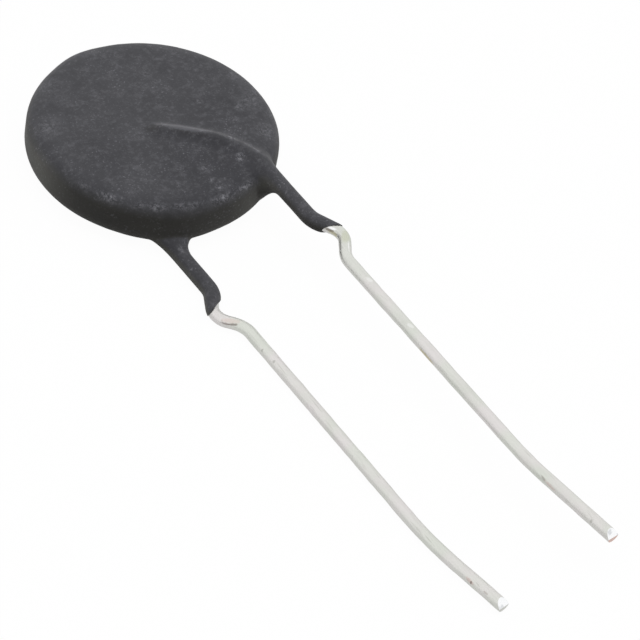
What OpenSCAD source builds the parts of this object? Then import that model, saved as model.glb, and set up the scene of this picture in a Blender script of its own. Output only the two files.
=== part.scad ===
// Disc thermistor with two radial leads, one on each face of the disc.
// Millimetres. The origin is the centre of the coated disc's flat back face,
// +Z points through the disc to its front face, and the leads run towards -Y.

/* [Ceramic disc] */
// Diameter of the sintered disc
ceramic_d = 15; // [12:0.5:18]
// Thickness of the sintered disc
ceramic_t = 2.1; // [1.8:0.1:3.5]
// Thickness of the fired silver on each face
silver_t = 0.05; // [0.03:0.01:0.08]
// Bare ceramic left round each silvered face
silver_margin = 0.5; // [0.3:0.1:0.9]

/* [Coating] */
// Coating outside the rim of the ceramic disc
rim_coat = 1; // [0.8:0.05:1.4]
// Coating over each silvered face
face_coat = 0.65; // [0.55:0.05:1]
// Radius of the coated disc's edges
edge_r = 1.15; // [0.9:0.05:1.5]
// Coating round each lead
lead_coat = 0.14; // [0.1:0.01:0.2]
// Coating left at the dip line, where it thins out on the wire
dip_coat = 0.04; // [0.03:0.01:0.08]
// From the start of a lead's kink down to the dip line, where the coating ends
dip_past = 1.7; // [1.1:0.1:2]
// Slant of the dip line on the front lead, in degrees
front_dip_slant = -18; // [-30:1:30]
// Slant of the dip line on the back lead, in degrees
back_dip_slant = 28; // [-30:1:30]
// Length of the flare where each coated leg leaves the rim
flare_len = 2.2; // [1.4:0.1:2.6]
// Widening of the front leg's flare to each side
front_flare = 1; // [0.6:0.1:1.4]
// Widening of the back leg's flare on the side away from the other leg
back_flare = 1.8; // [0.6:0.1:2]
// Widening of the back leg's flare on the side towards the other leg
back_inner_flare = 1.5; // [0.6:0.1:1.8]
// How far the front leg's flare reaches down the rim, past the coated leg
front_web = 2.7; // [1.5:0.1:3]
// How far the back leg's flare reaches up the rim, past the coated leg
back_web = 0.2; // [0.1:0.1:2.5]

/* [Leads] */
// Diameter of the tinned wire
lead_d = 0.83; // [0.6:0.01:0.9]
// Front lead's distance from the disc's centre line
front_x = 4.22; // [3.2:0.02:4.4]
// Back lead's distance from the disc's centre line
back_x = 3.38; // [3:0.02:4.4]
// Radius of the sweeping bend by which a lead turns to the disc's centre
hook_r = 6; // [4:0.5:7]
// Angle of that bend, in degrees
hook_angle = 53; // [35:1:55]
// Where that bend begins, below the disc's centre
hook_y = 7.45; // [6.5:0.05:7.6]
// Straight end of the wire, inside that bend
hook_end = 2.7; // [2.5:0.1:3]
// From the coated rim's lowest point down to the start of the front lead's kink
front_kink_drop = 3.65; // [3:0.05:4.1]
// From the coated rim's lowest point down to the start of the back lead's kink
back_kink_drop = 3.95; // [3:0.05:4.1]
// How far the front lead's kink stands out to the side
front_kink_h = 1.02; // [0.9:0.02:1.3]
// How far the back lead's kink stands out to the side
back_kink_h = 0.92; // [0.86:0.02:1.3]
// Slope of the kink's sides, in degrees
kink_angle = 33; // [28:1:36]
// Slope of the back lead's kink on the side towards the lead's end, in degrees
back_return_angle = 46; // [35:1:47]
// Bend radius at the foot of the kink
kink_foot_r = 1.9; // [1.2:0.1:2.1]
// Bend radius at the top of the kink
kink_top_r = 1.3; // [0.8:0.1:1.5]
// How much nearer to the centre line the back lead runs below its kink
back_step = 0.22; // [0.1:0.02:0.3]
// Straight length of each lead below its kink
straight_len = 17.6; // [10:0.2:25]
// Radius of the slight bend near the ends
end_bend_r = 28; // [15:1:40]
// Angle of that bend on the front lead, in degrees
front_end_angle = 7.2; // [2:0.2:12]
// Angle of that bend on the back lead, in degrees
back_end_angle = 9.4; // [2:0.2:12]
// Length of the front lead past that bend
front_end_len = 6.1; // [3:0.1:8]
// Length of the back lead past that bend
back_end_len = 4.1; // [3:0.1:8]
// Slope of the wide upper face that the cutter leaves at each end, in degrees
cut_angle = 50; // [35:1:60]
// Slope of the narrow lower face there, in degrees
cut_back_angle = 20; // [10:1:60]
// How far below the wire's axis these two faces meet
cut_drop = 0.14; // [0.05:0.01:0.2]

/* [Solder] */
// Solder between the wire and the silver
solder_film = 0.05; // [0.03:0.01:0.08]
// Length of the solder fillet along the wire, between its round ends
solder_len = 2.2; // [1:0.1:2.4]
// Width of the solder fillet to each side of the wire's axis
solder_side = 1.1; // [0.8:0.05:1.3]
// How far up the wire the solder fillet climbs, as a part of its diameter
solder_climb = 0.7; // [0.6:0.05:0.8]

/* [Hidden] */

$fn = 64;
lead_r = lead_d / 2;
leg_r = lead_r + lead_coat;
body_r = ceramic_d / 2 + rim_coat;
body_t = ceramic_t + 2 * (silver_t + face_coat);
mid_z = body_t / 2;
ceramic_r = ceramic_d / 2;
// height of a lead's axis above the disc's middle plane
lead_z = ceramic_t / 2 + silver_t + solder_film + lead_r;
front_kink_y = body_r + front_kink_drop;
back_kink_y = body_r + back_kink_drop;
// room to let a cutting block pass right through the part
clear = 50;
// how far a straight of wire runs into a bend, and how much thicker the bend is
lap = 0.01;
bend_swell = 0.003;
// how much thicker the tapered coating ends than the coating over the kink's top
taper_swell = 0.009;
// the flare's rings, the sides of each, and how deep it lies in the rim and in the leg
flare_rings = 9;
flare_sides = 28;
flare_sunk = 0.15;
flare_inset = 0.04;
flare_core = leg_r - flare_inset;
// where the solder fillet's sides meet in the wire, as a part of its half width there
solder_meet = 0.8;

// Each lead is a list of steps [straight length, turn in degrees, bend radius].
// The first step starts at the wire's inner end, and a positive turn is to the left.
function kink_side(h, angle) =
    (h - (kink_foot_r + kink_top_r) * (1 - cos(angle))) / sin(angle);
function lead_steps(kink_y, h, return_angle, step, end_angle, end_len) = [
    [hook_end, -hook_angle, hook_r],
    [kink_y - hook_y, kink_angle, kink_foot_r],
    [kink_side(h, kink_angle), -kink_angle - return_angle, kink_top_r],
    [kink_side(h + step, return_angle), return_angle, kink_foot_r],
    [straight_len, end_angle, end_bend_r],
    [end_len, 0, 0]
];
front_steps = lead_steps(
    front_kink_y, front_kink_h, kink_angle, 0, front_end_angle, front_end_len);
back_steps = lead_steps(
    back_kink_y, back_kink_h, back_return_angle, back_step, -back_end_angle, back_end_len);

// Puts its children at the wire's inner end, with +X along the wire. The front lead
// lies at +X over the front face, and the back lead is turned over to -X and the back.
module at_front() {
    translate([
        front_x - hook_r * (1 - cos(hook_angle)) - hook_end * sin(hook_angle),
        -hook_y + hook_r * sin(hook_angle) + hook_end * cos(hook_angle),
        mid_z + lead_z
    ])
        rotate([0, 0, hook_angle - 90])
            children();
}

module at_back() {
    translate([
        -back_x + hook_r * (1 - cos(hook_angle)) + hook_end * sin(hook_angle),
        -hook_y + hook_r * sin(hook_angle) + hook_end * cos(hook_angle),
        mid_z - lead_z
    ])
        rotate([0, 0, -90 - hook_angle])
            mirror([0, 1, 0])
                children();
}

// A round bar of radius r along the steps, from step i to step last. Each straight
// runs a touch into the bends beside it, which are thicker by bend_swell.
module bar(steps, r, i = 0, last = 99) {
    length = steps[i][0];
    turn = steps[i][1];
    bend_r = steps[i][2];
    lap_in = i > 0 ? lap : 0;
    lap_out = abs(turn) > 0 ? lap : 0;
    translate([-lap_in, 0, 0])
        rotate([0, 90, 0])
            cylinder(r = r, h = lap_in + length + lap_out);
    if (abs(turn) > 0)
        translate([length, 0, 0])
            mirror([0, turn < 0 ? 1 : 0, 0])
                translate([0, bend_r, 0])
                    rotate([0, 0, -90])
                        rotate_extrude(angle = abs(turn))
                            translate([bend_r, 0])
                                circle(r = r + bend_swell);
    if (i < min(last, len(steps) - 1))
        next(steps, i)
            bar(steps, r, i + 1, last);
}

// Puts its children at the end of step i, with +X along the wire
module next(steps, i) {
    turn = steps[i][1];
    bend_r = steps[i][2];
    side = turn < 0 ? -1 : 1;
    translate([
        steps[i][0] + bend_r * sin(abs(turn)),
        side * bend_r * (1 - cos(turn)),
        0
    ])
        rotate([0, 0, turn])
            children();
}

// Puts its children at the end of the last step, whatever the number of steps
module at_end(steps, i = 0) {
    next(steps, i)
        if (i < len(steps) - 1)
            at_end(steps, i + 1) children();
        else
            children();
}

// What a side cutter takes off beyond a face that slopes back from the wire's end
module cut_off(slope) {
    rotate([0, -slope, 0])
        translate([0, -2 * lead_d, 0])
            cube([8 * lead_d, 4 * lead_d, 4 * lead_d]);
}

// A wire with a chisel edge across its end
module lead(steps) {
    difference() {
        bar(steps, lead_r);
        at_end(steps)
            translate([0, 0, -cut_drop]) {
                cut_off(cut_angle);
                mirror([0, 0, 1])
                    cut_off(cut_back_angle);
            }
    }
}

module lead_front() {
    color("gainsboro")
        at_front()
            lead(front_steps);
}

module lead_back() {
    color("gainsboro")
        at_back()
            lead(back_steps);
}

// Section of the solder fillet: concave sides that climb the wire and meet inside it,
// with the wire's axis at the origin and +Y away from the disc
module solder_outline() {
    foot = -lead_r - solder_film;
    top = -lead_r + solder_climb * lead_d;
    inside = solder_meet * sqrt(lead_r * lead_r - top * top);
    side = [for (s = [0 : 0.125 : 1])
        [solder_side + (inside - solder_side) * s, foot + (top - foot) * s * s]];
    polygon(concat(side, [for (i = [len(side) - 1 : -1 : 0]) [-side[i][0], side[i][1]]]));
}

// Half of that section turned about the wire, to close an end of the fillet
module solder_nose() {
    rotate_extrude()
        intersection() {
            translate([0, -lead_r - solder_film])
                square([solder_side, solder_film + lead_d]);
            solder_outline();
        }
}

// The solder fillet before the wire is cut out of it
module solder_fillet() {
    solder_nose();
    rotate([90, 0, 90])
        linear_extrude(solder_len)
            solder_outline();
    translate([solder_len, 0, 0])
        solder_nose();
}

module solder() {
    difference() {
        solder_fillet();
        bar(front_steps, lead_r, 0, 1);
    }
}

module solder_front() {
    color("silver")
        at_front()
            solder();
}

module solder_back() {
    color("silver")
        at_back()
            mirror([0, 0, 1])
                solder();
}

module ceramic_disc() {
    color("dimgray")
        translate([0, 0, mid_z - ceramic_t / 2])
            cylinder(r = ceramic_r, h = ceramic_t, $fn = 160);
}

module electrode() {
    cylinder(r = ceramic_r - silver_margin, h = silver_t);
}

module electrode_front() {
    color("lightgray")
        translate([0, 0, mid_z + ceramic_t / 2])
            electrode();
}

module electrode_back() {
    color("lightgray")
        translate([0, 0, mid_z - ceramic_t / 2 - silver_t])
            electrode();
}

// The dipped disc, with rounded edges and flat faces
module coated_disc() {
    rotate_extrude($fn = 160)
        union() {
            square([body_r - edge_r, body_t]);
            translate([0, edge_r])
                square([body_r, body_t - 2 * edge_r]);
            for (z = [edge_r, body_t - edge_r])
                translate([body_r - edge_r, z])
                    circle(r = edge_r);
        }
}

// How far below the disc's centre the rim is, at x from the centre line and at z from
// the middle plane, where the rounded edge draws it in
function rim_y(x, z = 0) =
    let (up = min(edge_r, max(0, abs(z) - mid_z + edge_r)))
    sqrt(body_r * body_r - x * x) - edge_r + sqrt(edge_r * edge_r - up * up);

// One ring of the flare about the lead at x, at t from 0 in the rim to 1 in the leg.
// Wet coating draws itself into such a fillet. It widens the leg only towards the
// disc's middle plane: on the far side the leg keeps the ridge's own outline.
// sides are the widenings on the +X and the -X side.
function flare_ring(t, x, sides, web) =
    let (grow = (1 - t) * (1 - t))
    [for (k = [0 : flare_sides - 1])
        let (a = 360 * k / flare_sides)
        let (side = sides[cos(a) > 0 ? 0 : 1])
        let (half = (flare_core + side * grow * (1 - sin(a)) / 2) * cos(a))
        let (z = (flare_core + (sin(a) < 0 ? web * grow : 0)) * sin(a))
        let (root = flare_sunk - rim_y(x + half, lead_z + z))
        [half, (1 - t) * root - t * (rim_y(x) + flare_len), z]
    ];

// The flare from the rim to the coated leg, about the lead's axis: web points down
module flare(x, sides, web) {
    n = flare_sides;
    last = (flare_rings - 1) * n;
    rings = [for (i = [0 : flare_rings - 1])
        for (p = flare_ring(i / (flare_rings - 1), x, sides, web)) p];
    walls = [for (i = [0 : flare_rings - 2])
        for (k = [0 : n - 1])
            for (f = [
                [i * n + k, (i + 1) * n + (k + 1) % n, i * n + (k + 1) % n],
                [i * n + k, (i + 1) * n + k, (i + 1) * n + (k + 1) % n]
            ])
                f];
    // the first ring is curved like the rim, so it is closed by a fan about its middle
    rim_cap = [for (k = [0 : n - 1]) [len(rings), k, (k + 1) % n]];
    leg_cap = [[for (k = [n - 1 : -1 : 0]) last + k]];
    middle = [0, flare_sunk + lap - rim_y(x, lead_z), 0];
    polyhedron(concat(rings, [middle]), concat(walls, rim_cap, leg_cap), convexity = 4);
}

// The coating on one lead: a tube along the wire that thins out on the kink
module coated_leg(steps) {
    dip_r = lead_r + dip_coat;
    sphere(r = leg_r);
    bar(steps, leg_r, 0, 1);
    next(steps, 0)
        next(steps, 1) {
            translate([-lap, 0, 0])
                rotate([0, 90, 0])
                    cylinder(r1 = leg_r, r2 = dip_r + taper_swell, h = steps[2][0] + 2 * lap);
            translate([steps[2][0], 0, 0])
                bar([[0, steps[2][1], steps[2][2]]], dip_r);
        }
}

// All that lies above the dip line, which crosses a lead half-way up its kink
module above_dip(x, kink_y, slant) {
    translate([x, -kink_y - dip_past, 0])
        rotate([0, 0, slant])
            translate([-clear, 0, -clear])
                cube(2 * clear);
}

module coating() {
    color([0.22, 0.22, 0.23])
        difference() {
            union() {
                coated_disc();
                intersection() {
                    at_front()
                        coated_leg(front_steps);
                    above_dip(front_x + front_kink_h / 2, front_kink_y, front_dip_slant);
                }
                intersection() {
                    at_back()
                        coated_leg(back_steps);
                    above_dip(-back_x - back_kink_h / 2, back_kink_y, back_dip_slant);
                }
                translate([front_x, 0, mid_z + lead_z])
                    flare(front_x, [front_flare, front_flare], front_web);
                translate([-back_x, 0, mid_z - lead_z])
                    mirror([0, 0, 1])
                        flare(-back_x, [back_inner_flare, back_flare], back_web);
            }
            ceramic_disc();
            electrode_front();
            electrode_back();
            at_front()
                solder_fillet();
            at_back()
                mirror([0, 0, 1])
                    solder_fillet();
            lead_front();
            lead_back();
        }
}

coating();
ceramic_disc();
electrode_front();
electrode_back();
solder_front();
solder_back();
lead_front();
lead_back();
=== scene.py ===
"""A disc thermistor with two kinked wire leads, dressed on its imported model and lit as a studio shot."""
import math

import bpy
from mathutils import Matrix, Vector


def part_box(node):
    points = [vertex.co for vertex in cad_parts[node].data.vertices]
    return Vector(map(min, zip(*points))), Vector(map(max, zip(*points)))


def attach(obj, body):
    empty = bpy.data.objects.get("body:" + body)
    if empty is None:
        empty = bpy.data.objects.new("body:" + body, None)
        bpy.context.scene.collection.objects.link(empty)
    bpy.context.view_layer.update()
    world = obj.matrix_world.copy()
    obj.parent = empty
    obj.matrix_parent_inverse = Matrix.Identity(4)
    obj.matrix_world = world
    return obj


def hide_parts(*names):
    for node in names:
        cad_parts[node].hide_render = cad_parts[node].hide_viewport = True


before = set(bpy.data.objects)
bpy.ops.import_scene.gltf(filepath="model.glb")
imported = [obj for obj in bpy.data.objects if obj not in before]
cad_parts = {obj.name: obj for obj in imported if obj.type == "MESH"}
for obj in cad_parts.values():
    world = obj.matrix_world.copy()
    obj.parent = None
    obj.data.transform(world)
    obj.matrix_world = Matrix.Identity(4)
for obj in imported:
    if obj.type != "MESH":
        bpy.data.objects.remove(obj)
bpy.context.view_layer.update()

# The camera stands where the photograph's did: towards the ends of the leads, over the
# back lead's side, with a long lens and tilted a little to the right.
view_from = Vector((-0.103764, -0.133120, 0.151465))
view_heading = math.radians(42.533)
view_dip = math.radians(44.14)
view_roll = math.radians(11.57)
bpy.ops.object.select_all(action="DESELECT")
bpy.ops.object.camera_add(location=view_from)
camera = bpy.context.object
camera.matrix_world = (
    Matrix.Translation(view_from)
    @ Matrix.Rotation(-view_heading, 4, "Z")
    @ Matrix.Rotation(math.pi / 2 - view_dip, 4, "X")
    @ Matrix.Rotation(view_roll, 4, "Z")
)
camera.data.lens = 187.87
camera.data.sensor_width = 36
camera.data.clip_start = 0.01
camera.data.clip_end = 10
bpy.context.scene.camera = camera

# Two tinned copper wires of 0.83 mm, bent on a former: a hooked inner end that lies along
# the disc's face, a kink below the coating, and a slight bend near the cutter's end.
MM = 0.001
bar_sides = 32
ring_gap = 0.45
wire_r = 0.415
disc_mid = 1.75
axis_height = 1.565
hook_end, hook_r, hook_angle, hook_y = 2.7, 6.0, math.radians(53), 7.45
kink_angle = math.radians(33)
kink_foot_r, kink_top_r = 1.9, 1.3
straight_len, end_bend_r = 17.6, 28.0


def kink_side(height, slope):
    """Length of a kink's straight side between its bends."""
    in_bends = (kink_foot_r + kink_top_r) * (1 - math.cos(slope))
    return (height - in_bends) / math.sin(slope)


def lead_steps(side, kink_y, height, return_angle, step, end_angle, end_len):
    """A lead's steps of straight length, turn and bend radius, from its inner end. side is
    1 for the front lead, and -1 for the back lead, which is turned the other way."""
    return [
        (hook_end, -side * hook_angle, hook_r),
        (kink_y - hook_y, side * kink_angle, kink_foot_r),
        (kink_side(height, kink_angle), -side * (kink_angle + return_angle), kink_top_r),
        (kink_side(height + step, return_angle), side * return_angle, kink_foot_r),
        (straight_len, end_angle, end_bend_r),
        (end_len, 0, 0),
    ]


def inner_end(side, lead_x):
    """Where a lead's inner end lies, in millimetres, and its heading."""
    reach_x = hook_r * (1 - math.cos(hook_angle)) + hook_end * math.sin(hook_angle)
    reach_y = hook_r * math.sin(hook_angle) + hook_end * math.cos(hook_angle)
    start = Vector((side * (lead_x - reach_x), reach_y - hook_y, disc_mid + side * axis_height))
    return start, -math.pi / 2 + side * hook_angle


def across(heading):
    """The direction to the left of a heading."""
    return Vector((-math.sin(heading), math.cos(heading), 0))


def draw_bar(name, start, heading, steps, radii):
    """A round bar in millimetres: a disc is extruded along each straight and spun round each
    bend. radii are the radius at the start and after each step's straight."""
    bpy.ops.mesh.primitive_circle_add(
        vertices=bar_sides, radius=radii[0], fill_type="NGON",
        location=start, rotation=(0, math.pi / 2, heading),
    )
    piece = bpy.context.object
    piece.name = name
    bpy.ops.object.transform_apply(location=True, rotation=True, scale=True)
    bpy.ops.object.mode_set(mode="EDIT")
    bpy.ops.mesh.select_all(action="SELECT")
    at = start.copy()
    radius = radii[0]
    for (length, turn, bend_r), end_radius in zip(steps, radii[1:]):
        rings = max(1, round(length / ring_gap))
        forward = Vector((math.cos(heading), math.sin(heading), 0))
        for ring in range(rings):
            wanted = end_radius if ring == rings - 1 else radius + (end_radius - radius) / (rings - ring)
            bpy.ops.mesh.extrude_region_move(
                TRANSFORM_OT_translate={"value": forward * length / rings}
            )
            at += forward * length / rings
            bpy.ops.transform.resize(value=(wanted / radius,) * 3, center_override=at)
            radius = wanted
        if turn:
            centre = at + math.copysign(bend_r, turn) * across(heading)
            arc_rings = max(3, round(abs(turn) * bend_r / ring_gap), round(math.degrees(abs(turn)) / 6))
            bpy.ops.mesh.spin(steps=arc_rings, angle=-turn, center=centre, axis=(0, 0, 1))
            heading += turn
            at = centre - math.copysign(bend_r, turn) * across(heading)
    bpy.ops.object.mode_set(mode="OBJECT")
    return piece, at, heading


def cut(plane_at, normal):
    """Cuts what is selected in edit mode along a plane, drops what the normal points to and closes the cut."""
    bpy.ops.mesh.bisect(plane_co=plane_at, plane_no=normal, use_fill=True, clear_outer=True)


def to_metres(piece):
    """Turns a piece drawn in millimetres to metres, with its place in its mesh."""
    bpy.ops.object.select_all(action="DESELECT")
    piece.select_set(True)
    bpy.context.view_layer.objects.active = piece
    bpy.ops.transform.resize(value=(MM, MM, MM), center_override=(0, 0, 0))
    bpy.ops.object.transform_apply(location=True, rotation=True, scale=True)


cut_angle, cut_back_angle, cut_drop = math.radians(48), math.radians(6), 0.0
front_x, back_x = 4.22, 3.38
front_kink_y, back_kink_y = 12.15, 12.45
front_steps = lead_steps(1, front_kink_y, 1.02, kink_angle, 0, math.radians(7.2), 5.9)
back_steps = lead_steps(-1, back_kink_y, 0.92, math.radians(46), 0.22, math.radians(9.4), 4.2)
leads, cut_faces = [], []
for name, side, lead_x, steps in (
    ("lead_front", 1, front_x, front_steps), ("lead_back", -1, back_x, back_steps)
):
    start, heading = inner_end(side, lead_x)
    wire, tip, heading = draw_bar(name + "_wire", start, heading, steps, [wire_r] * 7)
    forward = Vector((math.cos(heading), math.sin(heading), 0))
    edge = tip + Vector((0, 0, -cut_drop))
    bpy.ops.object.mode_set(mode="EDIT")
    for slope, lift in ((cut_angle, 1), (cut_back_angle, -1)):
        bpy.ops.mesh.select_all(action="SELECT")
        cut(edge, forward * math.cos(slope) + Vector((0, 0, lift * math.sin(slope))))
    bpy.ops.mesh.select_all(action="SELECT")
    bpy.ops.mesh.normals_make_consistent(inside=False)
    bpy.ops.object.mode_set(mode="OBJECT")
    waves = bpy.data.textures.new(name + "_waves", "CLOUDS")
    waves.noise_scale = 0.9
    uneven = wire.modifiers.new("drawn_unevenly", "DISPLACE")
    uneven.texture = waves
    uneven.strength = 0.05
    uneven.mid_level = 0.5
    bpy.ops.object.modifier_apply(modifier=uneven.name)
    to_metres(wire)
    bpy.ops.object.shade_smooth_by_angle(angle=math.radians(35))
    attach(wire, "root")
    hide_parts(name)
    leads.append(wire)
    cut_faces.append([forward * math.cos(slope) + Vector((0, 0, lift * math.sin(slope)))
                      for slope, lift in ((cut_angle, 1), (cut_back_angle, -1))])


def linear(hexcode):
    """An sRGB hex colour as the linear values that a shader takes."""
    parts = [int(hexcode[i : i + 2], 16) / 255 for i in (1, 3, 5)]
    return (*[p / 12.92 if p <= 0.04045 else ((p + 0.055) / 1.055) ** 2.4 for p in parts], 1)


def add(tree, kind, inputs=None, **settings):
    """Adds a node with its settings, and its inputs as values or as links."""
    made = tree.nodes.new(kind)
    for name, value in settings.items():
        setattr(made, name, value)
    for name, value in (inputs or {}).items():
        if isinstance(value, bpy.types.NodeSocket):
            tree.links.new(value, made.inputs[name])
        else:
            made.inputs[name].default_value = value
    return made


def new_material(name):
    """An empty material: its node tree and the place of each point, in metres."""
    material = bpy.data.materials.new(name)
    material.use_nodes = True
    tree = material.node_tree
    tree.nodes.clear()
    place = add(tree, "ShaderNodeTexCoord").outputs["Object"]
    return material, tree, place


# Tin plating: a pale grey metal, drawn with the wire, so it is streaked along it and satin. The
# bending tool left dull granular patches on the kinks, and the cutter scored and stained it. The white lines and spots
# on the front wire are painted highlights.
tin, tree, place = new_material("tinned_wire")
along = add(tree, "ShaderNodeMapping", {"Vector": place, "Scale": (1, 0.08, 1)}).outputs[0]
streaks = add(tree, "ShaderNodeTexNoise", {"Vector": along, "Scale": 5200, "Detail": 4}).outputs["Fac"]
blotches = add(tree, "ShaderNodeTexNoise", {"Vector": place, "Scale": 900, "Detail": 3}).outputs["Fac"]
grains = add(tree, "ShaderNodeTexNoise", {"Vector": place, "Scale": 7000, "Detail": 2}).outputs["Fac"]
tint = add(tree, "ShaderNodeTexNoise", {"Vector": place, "Scale": 420, "Detail": 2}).outputs["Fac"]
tint = add(tree, "ShaderNodeMapRange", {"Value": tint, "From Min": 0.35, "From Max": 0.65}).outputs[0]
cool = add(tree, "ShaderNodeMix", {0: streaks, 6: linear("#CDD0C8"), 7: linear("#E6E8E1")},
           data_type="RGBA").outputs[2]
warm = add(tree, "ShaderNodeMix", {0: streaks, 6: linear("#D6D2D0"), 7: linear("#EBE8E7")},
           data_type="RGBA").outputs[2]
tone = add(tree, "ShaderNodeMix", {0: tint, 6: cool, 7: warm}, data_type="RGBA").outputs[2]
score = add(tree, "ShaderNodeMapRange", {"Value": streaks, "From Min": 0.6, "From Max": 0.7, "To Max": 0.35}).outputs[0]
tone = add(tree, "ShaderNodeMix", {0: score, 6: tone, 7: linear("#9A9B92")}, data_type="RGBA").outputs[2]


def mark(tone, ends, half_width, colour, strength):
    """Tints a tone along a short line between two places, given in millimetres."""
    a, b = (Vector(end) * MM for end in ends)
    mid, half = (a + b) / 2, (b - a) / 2
    turned = half.to_track_quat("X", "Z").inverted().to_euler()
    local = add(tree, "ShaderNodeVectorMath", {0: place, 1: mid}, operation="SUBTRACT").outputs[0]
    local = add(tree, "ShaderNodeVectorRotate", {"Vector": local, "Rotation": turned},
                rotation_type="EULER_XYZ").outputs[0]
    size = (1 / (half.length + half_width * MM), 1 / (half_width * MM), 1 / (half_width * MM))
    local = add(tree, "ShaderNodeVectorMath", {0: local, 1: size}, operation="MULTIPLY").outputs[0]
    far = add(tree, "ShaderNodeVectorMath", {0: local}, operation="LENGTH").outputs["Value"]
    far = add(tree, "ShaderNodeMath", {0: far, 1: grains}, operation="ADD").outputs[0]
    near = add(tree, "ShaderNodeMapRange",
               {"Value": far, "From Min": 1.2, "From Max": 1.7, "To Min": strength, "To Max": 0.0}).outputs[0]
    return add(tree, "ShaderNodeMix", {0: near, 6: tone, 7: linear(colour)}, data_type="RGBA").outputs[2]


# marks along the wires, in millimetres: yellowed and copper-pink stains, dark score lines, pits and spots, and white
# lines and spots on the front wire's kink and top that are painted highlights
for ends, half_width, colour, strength in (
    (((4.66, -14.16, 3.35), (4.85, -14.65, 3.34)), 0.16, "#B9B28A", 0.6),
    (((5.3, -15.0, 3.65), (4.9, -15.5, 3.7)), 0.3, "#C4C6AC", 0.5),
    (((4.5, -13.88, 3.45), (4.78, -14.28, 3.45)), 0.1, "#6B6358", 0.7),
    (((4.67, -13.98, 3.57), (4.9, -14.34, 3.6)), 0.08, "#FFFFFF", 0.9),
    (((4.69, -15.29, 3.55), (4.25, -15.95, 3.52)), 0.07, "#8F8F86", 0.3),
    (((4.95, -15.8, 3.7), (4.5, -16.55, 3.72)), 0.05, "#FFFFFF", 0.6),
    (((4.15, -19.2, 3.73), (4.2, -19.45, 3.73)), 0.14, "#FFFFFF", 0.35),
    (((4.1, -23.8, 3.72), (4.2, -24.1, 3.72)), 0.12, "#FFFFFF", 0.35),
    (((3.76, -25.6, 3.25), (3.8, -26.9, 3.25)), 0.15, "#BDB286", 0.65),
    (((-4.3, -15.7, 0.5), (-3.55, -16.3, 0.57)), 0.16, "#D8BBAF", 0.3),
    (((-4.42, -15.7, 0.33), (-4.07, -16.13, 0.35)), 0.07, "#59403A", 0.55),
    (((-4.1, -16.1, 0.36), (-3.74, -16.38, 0.46)), 0.08, "#5A463F", 0.6),
    (((-3.5, -18.95, 0.42), (-3.5, -19.1, 0.42)), 0.09, "#9B9B94", 0.5),
    (((-3.44, -20.2, 0.49), (-3.44, -20.35, 0.49)), 0.09, "#9B9B94", 0.5),
    (((-2.93, -40.8, 0.38), (-2.87, -41.3, 0.35)), 0.12, "#C9A9A2", 0.45),
    (((-2.9, -41.1, 0.35), (-2.88, -41.25, 0.35)), 0.07, "#6A5A54", 0.6),
    (((-2.66, -42.2, 0.43), (-2.62, -42.45, 0.44)), 0.07, "#9C9187", 0.45),
    (((4.6, -42.45, 3.5), (4.62, -42.65, 3.5)), 0.09, "#A3A39B", 0.45),
    (((4.09, -38.25, 3.52), (4.1, -38.5, 3.48)), 0.08, "#98938C", 0.5),
    (((4.1, -38.6, 3.45), (4.2, -39.4, 3.4)), 0.1, "#D3B9B3", 0.4),
):
    tone = mark(tone, ends, half_width, colour, strength)
rough = add(tree, "ShaderNodeMapRange", {"Value": blotches, "To Min": 0.3, "To Max": 0.5}).outputs[0]
relief = add(tree, "ShaderNodeMix", {0: 0.35, 2: streaks, 3: blotches}).outputs[0]
bump = add(tree, "ShaderNodeBump", {"Height": relief, "Strength": 0.4, "Distance": 0.00005}).outputs[0]
shader = add(tree, "ShaderNodeBsdfPrincipled",
             {"Base Color": tone, "Metallic": 1.0, "Roughness": rough, "Normal": bump})
add(tree, "ShaderNodeOutputMaterial", {"Surface": shader.outputs[0]})

# Bare copper, where the cutter's lower blade broke the wire through: pinkish, torn and dull.
copper, tree, place = new_material("sheared_copper")
tears = add(tree, "ShaderNodeTexNoise", {"Vector": place, "Scale": 6000, "Detail": 4}).outputs["Fac"]
tone = add(tree, "ShaderNodeMix", {0: tears, 6: linear("#D9B4A8"), 7: linear("#F0DCD4")},
           data_type="RGBA").outputs[2]
bump = add(tree, "ShaderNodeBump", {"Height": tears, "Strength": 0.5, "Distance": 0.00003}).outputs[0]
shader = add(tree, "ShaderNodeBsdfPrincipled",
             {"Base Color": tone, "Metallic": 1.0, "Roughness": 0.5, "Normal": bump})
add(tree, "ShaderNodeOutputMaterial", {"Surface": shader.outputs[0]})

# Tin that the cutter's upper blade wiped over the bevel: smooth, with its colour painted near white as a highlight.
wiped_tin_painted_white, tree, place = new_material("wiped_tin_painted_white")
smears = add(tree, "ShaderNodeTexNoise", {"Vector": place, "Scale": 2500, "Detail": 3}).outputs["Fac"]
smears = add(tree, "ShaderNodeMapRange", {"Value": smears, "From Min": 0.5, "From Max": 0.62}).outputs[0]
tone = add(tree, "ShaderNodeMix", {0: smears, 6: linear("#FAFBFC"), 7: linear("#DDDFE1")},
           data_type="RGBA").outputs[2]
shader = add(tree, "ShaderNodeBsdfPrincipled", {"Base Color": tone, "Metallic": 1.0, "Roughness": 0.25})
add(tree, "ShaderNodeOutputMaterial", {"Surface": shader.outputs[0]})
# each cut end: the upper bevel gets the tin painted near white as a highlight, the lower face the torn finish
for wire, (upper, lower), torn in zip(leads, cut_faces, (copper, tin)):
    for finish in (tin, wiped_tin_painted_white, torn):
        wire.data.materials.append(finish)
    for face in wire.data.polygons:
        if face.center.y < -0.035:
            face.material_index = 1 if face.normal.dot(upper) > 0.9 else 2 if face.normal.dot(lower) > 0.9 else 0

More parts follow.
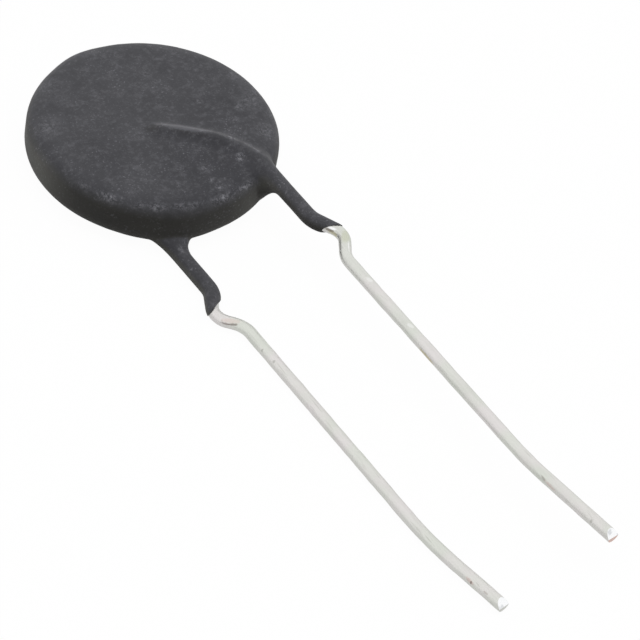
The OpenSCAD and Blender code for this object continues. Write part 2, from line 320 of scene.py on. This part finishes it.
# The dip coating: a black filled resin over the disc and the tops of the leads, drawn up in
# a ridge over the wire, with flares where the legs leave the rim. It is cured matt.
body_r, body_t, edge_r = 8.5, 3.5, 1.15
lead_coat, dip_coat = 0.14, 0.04
leg_r = wire_r + lead_coat
skin = 0.012
bpy.ops.object.select_all(action="DESELECT")
bpy.ops.mesh.primitive_cylinder_add(
    vertices=192, radius=body_r, depth=body_t, location=(0, 0, body_t / 2)
)
coat = bpy.context.object
coat.name = "coating_skin"
bpy.ops.object.transform_apply(location=True, rotation=True, scale=True)
bpy.ops.object.mode_set(mode="EDIT")
bpy.ops.mesh.select_all(action="DESELECT")
bpy.ops.object.mode_set(mode="OBJECT")
for edge in coat.data.edges:
    a, b = (coat.data.vertices[i].co for i in edge.vertices)
    edge.select = abs(a.z - b.z) < 0.01
bpy.ops.object.mode_set(mode="EDIT")
bpy.ops.mesh.select_mode(type="EDGE")
bpy.ops.mesh.bevel(offset=edge_r, segments=12, affect="EDGES")
bpy.ops.mesh.select_mode(type="VERT")
bpy.ops.object.mode_set(mode="OBJECT")
# the last drops ran down to the back leg as the part hung to dry, and drew the rim out there
for v in coat.data.vertices:
    if v.co.y < 0:
        v.co.y -= 0.42 * math.exp(-((v.co.x + back_x) / 2.6) ** 2) * (1 - v.co.z / body_t)
    v.co.xy *= 1 + 0.018 * math.exp(-((v.co.xy - Vector((-1.3, 8.35))).length / 1.7) ** 2)


def rim_reach(x, height):
    """How far the rim reaches towards the leads at x, at a height over the middle plane."""
    up = min(edge_r, max(0, abs(height) - body_t / 2 + edge_r))
    return math.sqrt(body_r**2 - x**2) - edge_r + math.sqrt(edge_r**2 - up**2)


# the coated legs, each thinning out on its kink, and the flares at the rim: straight bars
# whose rings are drawn out towards the middle plane as they near the rim
dip_past = 1.7
dip_r = wire_r + dip_coat
core = leg_r + skin
flare_len, flare_rings, flare_sunk = 2.2, 12, 0.3
dips = []
parts = [coat]
for side, lead_x, kink_y, steps, slant, height, sides, web in (
    (1, front_x, front_kink_y, front_steps, math.radians(-18), 1.02, (1.0, 1.0), 2.7),
    (-1, -back_x, back_kink_y, back_steps, math.radians(28), 0.92, (2.8, 1.4), 0.2),
):
    start, heading = inner_end(side, abs(lead_x))
    leg, _, _ = draw_bar("coated_leg", start, heading, steps[:3], [core] * 3 + [dip_r + 2.5 * skin])
    bpy.ops.mesh.primitive_uv_sphere_add(segments=bar_sides, ring_count=16, radius=core, location=start)
    round_end = bpy.context.object
    bpy.ops.object.transform_apply(location=True, rotation=True, scale=True)
    axis_z = disc_mid + side * axis_height
    dips.append((
        Vector((lead_x + side * height / 2, -kink_y - dip_past, axis_z)),
        Vector((math.sin(slant), -math.cos(slant), -0.35)),
    ))
    foot = -rim_reach(lead_x, 0) - flare_len
    flare, _, _ = draw_bar(
        "flare", Vector((lead_x, foot, axis_z)), math.pi / 2,
        [(flare_len / flare_rings, 0, 0)] * flare_rings, [core] * (flare_rings + 1),
    )
    for v in flare.data.vertices:
        near = (v.co.y - foot) / flare_len
        aside, out = (v.co.x - lead_x) / core, (v.co.z - axis_z) * side / core
        wing = sides[0] if aside > 0 else sides[1]
        aside *= core + wing * near**2.5 * (1 - out) / 2
        out *= core + (web * near**2 if out < 0 else 0)
        root = flare_sunk - rim_reach(lead_x + aside, axis_height + out)
        v.co = (lead_x + aside, near * root + (1 - near) * foot, axis_z + side * out)
    parts += [leg, round_end, flare]

bpy.ops.object.select_all(action="DESELECT")
for part in parts:
    part.select_set(True)
bpy.context.view_layer.objects.active = coat
bpy.ops.object.join()
bpy.ops.object.mode_set(mode="EDIT")
bpy.ops.mesh.select_all(action="SELECT")
bpy.ops.mesh.normals_make_consistent(inside=False)
bpy.ops.object.mode_set(mode="OBJECT")
remesh = coat.modifiers.new("one_skin", "REMESH")
remesh.mode = "VOXEL"
remesh.voxel_size = 0.1
bpy.ops.object.modifier_apply(modifier=remesh.name)
smooth = coat.modifiers.new("wet_flow", "SMOOTH")
smooth.factor = 0.5
smooth.iterations = 10
bpy.ops.object.modifier_apply(modifier=smooth.name)
# the wet coating sags into the corners beside the ridges, so those flow more
ridges = coat.vertex_groups.new(name="ridges")
inside = [v.index for v in coat.data.vertices
          if abs(v.co.z - disc_mid) > body_t / 2 - 0.15 and v.co.xy.length < body_r - 0.6]
ridges.add(inside, 1.0, "REPLACE")
smooth = coat.modifiers.new("sag", "SMOOTH")
smooth.vertex_group = ridges.name
smooth.factor = 0.5
smooth.iterations = 70
bpy.ops.object.modifier_apply(modifier=smooth.name)
for name, size, strength in (("slow_waves", 4.5, 0.05), ("fine_waves", 0.8, 0.014)):
    waves = bpy.data.textures.new(name, "CLOUDS")
    waves.noise_scale = size
    uneven = coat.modifiers.new(name, "DISPLACE")
    uneven.texture = waves
    uneven.strength = strength
    uneven.mid_level = 0.5
    bpy.ops.object.modifier_apply(modifier=uneven.name)
for plane_at, normal in dips:
    bpy.ops.object.mode_set(mode="EDIT")
    bpy.ops.mesh.select_mode(type="VERT")
    bpy.ops.mesh.select_all(action="DESELECT")
    bpy.ops.object.mode_set(mode="OBJECT")
    for v in coat.data.vertices:
        v.select = (v.co - plane_at).length < 3
    bpy.ops.object.mode_set(mode="EDIT")
    cut(plane_at, normal)
    bpy.ops.object.mode_set(mode="OBJECT")
bpy.ops.object.mode_set(mode="EDIT")
bpy.ops.mesh.select_all(action="SELECT")
bpy.ops.mesh.remove_doubles(threshold=0.004)
bpy.ops.mesh.fill_holes(sides=0)
bpy.ops.object.mode_set(mode="OBJECT")
to_metres(coat)
bpy.ops.object.shade_smooth_by_angle(angle=math.radians(50))
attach(coat, "root")
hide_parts("coating")

# A mineral-filled epoxy, cured matt: near black, with a breath of grey dust on what faces up.
# It is rubbed light in flecks where it was touched. The flecks along the edge of the face and on the ridge are painted
# highlights, and it has painted rim light low on its side and painted shade at the ridge's end and foot.
resin, tree, place = new_material("matt_dip_resin")
mottle = add(tree, "ShaderNodeTexNoise", {"Vector": place, "Scale": 420, "Detail": 7, "Roughness": 0.78}).outputs["Fac"]
grains = add(tree, "ShaderNodeTexNoise", {"Vector": place, "Scale": 6000, "Detail": 3}).outputs["Fac"]
flecks = add(tree, "ShaderNodeTexNoise", {"Vector": place, "Scale": 3600, "Detail": 6, "Roughness": 0.8, "Distortion": 0.4}).outputs["Fac"]
facing = add(tree, "ShaderNodeNewGeometry").outputs["Normal"]
facing = add(tree, "ShaderNodeSeparateXYZ", {0: facing}).outputs["Z"]
up = add(tree, "ShaderNodeMapRange", {"Value": facing, "From Min": 0.1, "From Max": 0.7}).outputs[0]
height = add(tree, "ShaderNodeSeparateXYZ", {0: place}).outputs["Z"]
# painted rim light: the side is painted lighter towards its bottom
painted_rim_light = add(tree, "ShaderNodeMapRange",
          {"Value": height, "From Min": 0.2 * MM, "From Max": 1.2 * MM, "To Min": 0.8, "To Max": 0.0}).outputs[0]
bare = add(tree, "ShaderNodeMix", {0: mottle, 6: linear("#282725"), 7: linear("#454440")},
           data_type="RGBA").outputs[2]
# the lighter tone of the painted rim light
rim_light_tone = add(tree, "ShaderNodeMix", {0: mottle, 6: linear("#494945"), 7: linear("#72716B")},
              data_type="RGBA").outputs[2]
dusty = add(tree, "ShaderNodeMix", {0: mottle, 6: linear("#2E2E31"), 7: linear("#555559")},
            data_type="RGBA").outputs[2]
clean = add(tree, "ShaderNodeMix", {0: mottle, 6: linear("#1E1E21"), 7: linear("#434348")},
            data_type="RGBA").outputs[2]
# spots with a reach and a strength, all in millimetres, for the rubbed and wiped places and for the painted rim light
# and highlights
flat_place = add(tree, "ShaderNodeVectorMath", {0: place, 1: (1, 1, 0)}, operation="MULTIPLY").outputs[0]


def spot_mask(spots):
    """How strongly the places near some spots are marked: rubbed or wiped, or given painted light."""
    most = 0.0
    for x, y, reach, strength in spots:
        far = add(tree, "ShaderNodeVectorMath", {0: flat_place, 1: (x * MM, y * MM, 0)}, operation="DISTANCE")
        near = add(tree, "ShaderNodeMapRange",
                   {"Value": far.outputs["Value"], "From Max": reach * MM, "To Min": strength, "To Max": 0.0},
                   interpolation_type="SMOOTHSTEP")
        most = add(tree, "ShaderNodeMath", {0: most, 1: near.outputs[0]}, operation="MAXIMUM").outputs[0]
    return most


def along_arc(x, y, arc_r, half_width):
    """A soft line along a circle about a place."""
    far = add(tree, "ShaderNodeVectorMath", {0: flat_place, 1: (x * MM, y * MM, 0)}, operation="DISTANCE")
    off = add(tree, "ShaderNodeMath", {0: far.outputs["Value"], 1: arc_r * MM}, operation="SUBTRACT").outputs[0]
    off = add(tree, "ShaderNodeMath", {0: off}, operation="ABSOLUTE").outputs[0]
    return add(tree, "ShaderNodeMapRange",
               {"Value": off, "From Max": half_width * MM, "To Min": 1.0, "To Max": 0.0}).outputs[0]


def both_of(a, b):
    return add(tree, "ShaderNodeMath", {0: a, 1: b}, operation="MULTIPLY").outputs[0]


def most_of(a, b):
    return add(tree, "ShaderNodeMath", {0: a, 1: b}, operation="MAXIMUM").outputs[0]


# what was handled has less dust on it
wiped = spot_mask(((-4.6, -8.7, 1.7, 0.9), (0.8, -5.4, 6.0, 0.85), (2.0, -6.4, 3.0, 0.9), (-5.0, -1.8, 3.4, 0.45), (4.4, -1.6, 3.8, 0.4)))
face_tone = add(tree, "ShaderNodeMix", {0: wiped, 6: dusty, 7: clean}, data_type="RGBA").outputs[2]
# more painted rim light, at the left rim and at the near right rim
painted_rim_light = most_of(painted_rim_light, spot_mask(((-8.4, 0.2, 3.4, 0.8), (2.8, -8.2, 2.6, 0.6))))
tone = add(tree, "ShaderNodeMix", {0: painted_rim_light, 6: bare, 7: rim_light_tone}, data_type="RGBA").outputs[2]
tone = add(tree, "ShaderNodeMix", {0: up, 6: tone, 7: face_tone}, data_type="RGBA").outputs[2]
# painted shade at the ridge's inner end, where it dips, and along its lower foot, and a painted highlight along its
# crest
tone = mark(tone, ((-0.8, -0.75, 3.5), (-0.6, -0.95, 3.5)), 0.4, "#2B2A29", 0.45)
tone = mark(tone, ((-0.05, -1.4, 3.6), (2.2, -3.2, 3.65)), 0.22, "#2E2D2F", 0.55)
tone = mark(tone, ((0.2, -0.95, 3.75), (2.3, -2.6, 3.8)), 0.4, "#808086", 0.3)
# a painted highlight in flecks along the near edge of the face
painted_edge_highlight = both_of(along_arc(0, 0, 8.2, 0.3), spot_mask((
    (-7.5, -3.1, 1.2, 0.4), (-6.6, -4.8, 1.6, 0.9), (-5.3, -6.4, 1.3, 0.6), (-4.3, -7.1, 1.0, 1.0),
    (-2.6, -7.8, 2.2, 0.6), (0.3, -8.2, 1.7, 1.0), (2.2, -7.9, 1.3, 0.9),
)))
# a painted highlight in flecks along the ridge's upper side
painted_ridge_highlight = both_of(
    along_arc(front_x - hook_r, -hook_y, hook_r + 0.35, 0.4),
    spot_mask(((4.7, -5.3, 1.5, 1.0), (3.4, -3.8, 1.3, 0.8), (2.0, -2.6, 1.2, 0.6))),
)
touched = spot_mask((
    (3.1, -5.7, 0.55, 1.0), (0.4, -7.5, 0.6, 0.6), (0.2, -6.8, 0.5, 0.6), (5.9, -1.4, 0.7, 0.5),
    (4.9, -2.3, 0.6, 0.5), (3.7, 0.2, 0.4, 0.6), (0.0, -0.8, 0.5, 0.6), (-1.9, -1.0, 0.7, 0.4),
    (0.4, -5.6, 0.8, 0.4), (-1.1, -4.9, 0.8, 0.35), (-6.9, 2.2, 1.6, 0.35), (-4.9, 6.0, 1.6, 0.35),
    (6.9, -1.2, 1.6, 0.4), (6.3, -4.2, 1.3, 0.5), (1.9, 4.2, 0.8, 0.4), (8.0, -0.5, 1.3, 0.5),
    (7.9, -3.0, 1.2, 0.6), (7.5, 1.6, 1.2, 0.4), (-3.3, -9.2, 0.7, 0.5), (-2.7, -8.6, 0.4, 0.8),
))
# the real touched wear, together with the painted highlights of the edge and the ridge
wear_and_painted_highlights = most_of(most_of(painted_edge_highlight, painted_ridge_highlight), touched)
rough_spots = add(tree, "ShaderNodeMapRange", {"Value": flecks, "From Min": 0.46, "From Max": 0.62}).outputs[0]
specks = add(tree, "ShaderNodeMapRange", {"Value": grains, "From Min": 0.58, "From Max": 0.7, "To Max": 0.42}).outputs[0]
patchy = add(tree, "ShaderNodeMapRange", {"Value": mottle, "From Min": 0.44, "From Max": 0.6, "To Min": 0.15}).outputs[0]
scuffs = add(tree, "ShaderNodeTexNoise", {"Vector": place, "Scale": 1900, "Detail": 7, "Roughness": 0.8}).outputs["Fac"]
scuffs = add(tree, "ShaderNodeMapRange", {"Value": scuffs, "From Min": 0.5, "From Max": 0.68, "To Max": 0.2}).outputs[0]
# worn flecks, specks and scuffs, and the painted highlights, all lightened to one pale grey
worn_and_painted_highlights = most_of(most_of(both_of(wear_and_painted_highlights, rough_spots), both_of(specks, patchy)), both_of(up, scuffs))
tone = add(tree, "ShaderNodeMix", {0: worn_and_painted_highlights, 6: tone, 7: linear("#94949A")}, data_type="RGBA").outputs[2]
hollows = add(tree, "ShaderNodeMix", {0: 0.5, 2: grains, 3: flecks}).outputs[0]
bump = add(tree, "ShaderNodeBump", {"Height": hollows, "Strength": 0.4, "Distance": 0.00004}).outputs[0]
shader = add(tree, "ShaderNodeBsdfPrincipled",
             {"Base Color": tone, "Roughness": 0.8, "Specular IOR Level": 0.25, "Sheen Weight": 0.2,
              "Sheen Roughness": 0.5, "Normal": bump})
add(tree, "ShaderNodeOutputMaterial", {"Surface": shader.outputs[0]})
coat.data.materials.append(resin)

# The inner pieces: a sintered oxide disc, fired silver on both its faces, and tin solder
# that holds each wire. All are sealed in the coating.
for nodes, name, dark, light, metallic, roughness in (
    (["ceramic_disc"], "sintered_oxide", "#2E2B29", "#3B3835", 0.0, 0.7),
    (["electrode_front", "electrode_back"], "fired_silver", "#C9C9C4", "#DEDEDA", 1.0, 0.45),
    (["solder_front", "solder_back"], "tin_solder", "#B5B6B3", "#CDCECB", 1.0, 0.3),
):
    finish, tree, place = new_material(name)
    grain = add(tree, "ShaderNodeTexNoise", {"Vector": place, "Scale": 3000, "Detail": 4}).outputs["Fac"]
    tone = add(tree, "ShaderNodeMix", {0: grain, 6: linear(dark), 7: linear(light)},
               data_type="RGBA").outputs[2]
    bump = add(tree, "ShaderNodeBump", {"Height": grain, "Strength": 0.2, "Distance": 0.00002}).outputs[0]
    shader = add(tree, "ShaderNodeBsdfPrincipled",
                 {"Base Color": tone, "Metallic": metallic, "Roughness": roughness, "Normal": bump})
    add(tree, "ShaderNodeOutputMaterial", {"Surface": shader.outputs[0]})
    for node in nodes:
        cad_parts[node].data.materials.clear()
        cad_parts[node].data.materials.append(finish)

# A white sweep of paper under the part, and large soft lamps. The paper keeps the part's
# shadow, and both it and the room beyond show white to the camera and in the metal.
floor_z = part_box("coating")[0].z - 0.0001
bpy.ops.mesh.primitive_plane_add(size=3, location=(0, 0, floor_z))
floor = bpy.context.object
floor.name = "paper"
paper, tree, place = new_material("white_paper")
path = add(tree, "ShaderNodeLightPath").outputs
seen = add(tree, "ShaderNodeMath", {0: path["Is Camera Ray"], 1: path["Is Glossy Ray"]}, operation="MAXIMUM")
seen = add(tree, "ShaderNodeMath", {0: seen.outputs[0], 1: path["Is Transmission Ray"]}, operation="MAXIMUM")
share = add(tree, "ShaderNodeMix", {0: path["Is Camera Ray"], 2: 0.61, 3: 0.8})
share = add(tree, "ShaderNodeMath", {0: seen.outputs[0], 1: share.outputs[0]}, operation="MULTIPLY")
matt = add(tree, "ShaderNodeBsdfDiffuse", {"Color": linear("#707070")})
glow = add(tree, "ShaderNodeEmission", {"Color": linear("#FFFFFF"), "Strength": 1.21})
both = add(tree, "ShaderNodeMixShader", {0: share.outputs[0], 1: matt.outputs[0], 2: glow.outputs[0]})
add(tree, "ShaderNodeOutputMaterial", {"Surface": both.outputs[0]})
floor.data.materials.append(paper)

world = bpy.data.worlds.new("studio")
bpy.context.scene.world = world
world.use_nodes = True
tree = world.node_tree
tree.nodes.clear()
path = add(tree, "ShaderNodeLightPath").outputs
seen = add(tree, "ShaderNodeMath", {0: path["Is Camera Ray"], 1: path["Is Glossy Ray"]}, operation="MAXIMUM")
seen = add(tree, "ShaderNodeMath", {0: seen.outputs[0], 1: path["Is Transmission Ray"]}, operation="MAXIMUM")
room = add(tree, "ShaderNodeBackground", {"Color": linear("#FFFFFF"), "Strength": 0.12})
white = add(tree, "ShaderNodeBackground", {"Color": linear("#FFFFFF"), "Strength": 1.0})
both = add(tree, "ShaderNodeMixShader", {0: seen.outputs[0], 1: room.outputs[0], 2: white.outputs[0]})
add(tree, "ShaderNodeOutputWorld", {"Surface": both.outputs[0]})

look_at = Vector((0, -0.012, 0))
for name, direction, distance, size, power in (
    ("key_lamp", (0.75, -0.35, 0.6), 0.8, 0.8, 2.0),
    ("side_lamp", (-0.5, 1.0, 0.3), 0.8, 0.8, 3.2),
    ("top_lamp", (-0.15, -0.18, 1.0), 0.9, 0.8, 5.6),
):
    from_side = Vector(direction).normalized()
    bpy.ops.object.light_add(type="AREA", location=look_at + from_side * distance)
    lamp = bpy.context.object
    lamp.name = name
    lamp.rotation_mode = "QUATERNION"
    lamp.rotation_quaternion = from_side.to_track_quat("Z", "Y")
    lamp.data.size = size
    lamp.data.energy = power
    # the wires show the white room alone, since the lamps on top of it would burn out
    lamp.visible_glossy = False

bpy.context.scene.view_settings.view_transform = "Standard"
